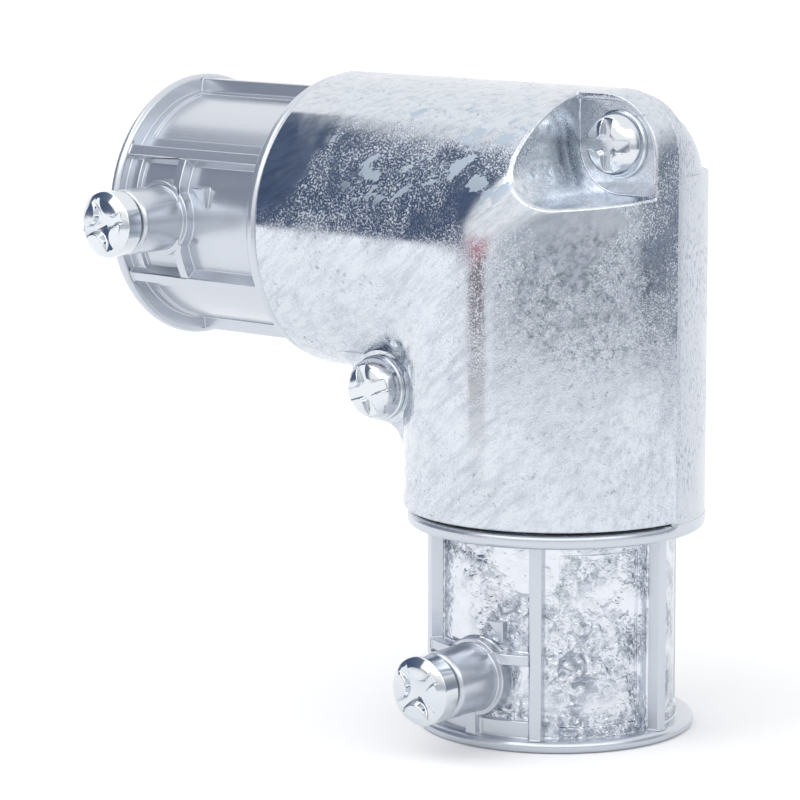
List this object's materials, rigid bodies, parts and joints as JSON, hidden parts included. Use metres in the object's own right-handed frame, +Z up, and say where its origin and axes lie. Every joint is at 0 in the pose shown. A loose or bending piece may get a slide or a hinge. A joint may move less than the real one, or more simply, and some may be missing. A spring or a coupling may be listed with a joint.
{
  "type": "conduit pulling elbow",
  "caption": "Right-angle die-cast conduit elbow with two set-screw tube sockets and a screwed-on cover that lifts off so wires can be pulled round the corner.",
  "frame": {"origin": "centre of the bottom socket's mouth, in the plane of its end flange", "axes": "+Z up along the bottom socket's axis, -X along the side socket's axis out of its mouth, -Y the way the cover lifts off"},
  "size_m": [0.0717, 0.041, 0.0717],
  "materials": {
    "satin_casting": "as-cast zinc, satin",
    "bright_casting": "tumbled zinc, bright and mottled",
    "plated_steel": "zinc plated, bright"
  },
  "bodies": {
    "body": {"body": "satin_casting"},
    "cover": {"cover": "bright_casting"},
    "cover_screw_outer": {"cover_screw_outer": "plated_steel"},
    "cover_screw_inner": {"cover_screw_inner": "plated_steel"},
    "set_screw_side": {"set_screw_side": "plated_steel"},
    "set_screw_bottom": {"set_screw_bottom": "plated_steel"}
  },
  "joints": [
    {"name": "cover_lift", "type": "slide", "parent": "body", "child": "cover", "axis": [0, -1, 0], "range_m": [0, 0.03]},
    {"name": "outer_screw_travel", "type": "slide", "parent": "cover", "child": "cover_screw_outer", "axis": [0, -1, 0], "range_m": [0, 0.006]},
    {"name": "inner_screw_travel", "type": "slide", "parent": "cover", "child": "cover_screw_inner", "axis": [0, -1, 0], "range_m": [0, 0.008]},
    {"name": "side_set_screw_travel", "type": "slide", "parent": "body", "child": "set_screw_side", "axis": [0, -1, 0], "range_m": [-0.0005, 0.006]},
    {"name": "bottom_set_screw_travel", "type": "slide", "parent": "body", "child": "set_screw_bottom", "axis": [0, -1, 0], "range_m": [-0.0005, 0.006]}
  ]
}
